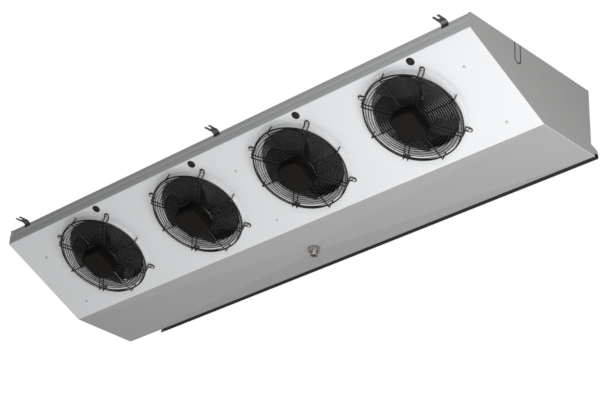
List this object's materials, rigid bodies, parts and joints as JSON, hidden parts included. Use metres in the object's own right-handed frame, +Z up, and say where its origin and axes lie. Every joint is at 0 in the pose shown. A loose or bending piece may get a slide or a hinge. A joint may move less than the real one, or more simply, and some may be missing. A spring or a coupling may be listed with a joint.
{
  "type": "walk-in unit cooler",
  "caption": "Low-profile ceiling evaporator with guarded axial fans on a sloping front panel, a finned coil and a dished drain pan.",
  "frame": {"origin": "centre of the six hanger slots, in the plane of their upper faces, which is the ceiling", "axes": "+X along the casing towards the end without pipes, +Y from the fans back to the coil, +Z up"},
  "size_m": [2, 0.635, 0.2551],
  "materials": {
    "casing": "smooth white powder coat",
    "zinc": "galvanised sheet",
    "rubber": "matt black",
    "hanger": "dull zinc plate",
    "fastener": "bright zinc plate",
    "guard": "semi-gloss black",
    "motor": "satin black",
    "impeller": "satin black",
    "coil": "plain rolled",
    "copper": "plain drawn copper",
    "drain": "plated brass",
    "terminal_box": "grey moulding"
  },
  "bodies": {
    "casing": {"baffle_centre": "zinc", "baffle_left": "zinc", "baffle_right": "zinc", "cable_grommets": "rubber", "coil_fins": "coil", "coil_plate_left": "coil", "coil_plate_right": "coil", "distributor": "copper", "drain_gasket": "rubber", "drain_nipple": "drain", "drain_nut": "drain", "drain_pan": "casing", "drip_edge": "rubber", "end_panel_left": "casing", "end_panel_right": "casing", "fan_panel": "casing", "guard_1": "guard", "guard_2": "guard", "guard_3": "guard", "guard_4": "guard", "guard_screws": "fastener", "hanger_front_left": "hanger", "hanger_front_middle": "hanger", "hanger_front_right": "hanger", "hanger_rear_left": "hanger", "hanger_rear_middle": "hanger", "hanger_rear_right": "hanger", "hanger_rivets": "fastener", "motor_1": "motor", "motor_2": "motor", "motor_3": "motor", "motor_4": "motor", "panel_screws": "fastener", "rear_cover": "casing", "rear_sill": "zinc", "return_bends_left": "copper", "return_bends_right": "copper", "suction_header": "copper", "terminal_box": "terminal_box", "top_cover": "casing"},
    "fan_1": {"impeller_1": "impeller", "motor_shaft_1": "fastener"},
    "fan_2": {"impeller_2": "impeller", "motor_shaft_2": "fastener"},
    "fan_3": {"impeller_3": "impeller", "motor_shaft_3": "fastener"},
    "fan_4": {"impeller_4": "impeller", "motor_shaft_4": "fastener"}
  },
  "joints": [
    {"name": "fan_1_spin", "type": "hinge", "parent": "casing", "child": "fan_1", "pos_m": [-0.6711, -0.12352, -0.13191], "axis": [0, -0.4468, -0.8946], "continuous": true},
    {"name": "fan_2_spin", "type": "hinge", "parent": "casing", "child": "fan_2", "pos_m": [-0.2237, -0.12352, -0.13191], "axis": [0, -0.4468, -0.8946], "continuous": true},
    {"name": "fan_3_spin", "type": "hinge", "parent": "casing", "child": "fan_3", "pos_m": [0.2237, -0.12352, -0.13191], "axis": [0, -0.4468, -0.8946], "continuous": true},
    {"name": "fan_4_spin", "type": "hinge", "parent": "casing", "child": "fan_4", "pos_m": [0.6711, -0.12352, -0.13191], "axis": [0, -0.4468, -0.8946], "continuous": true}
  ]
}
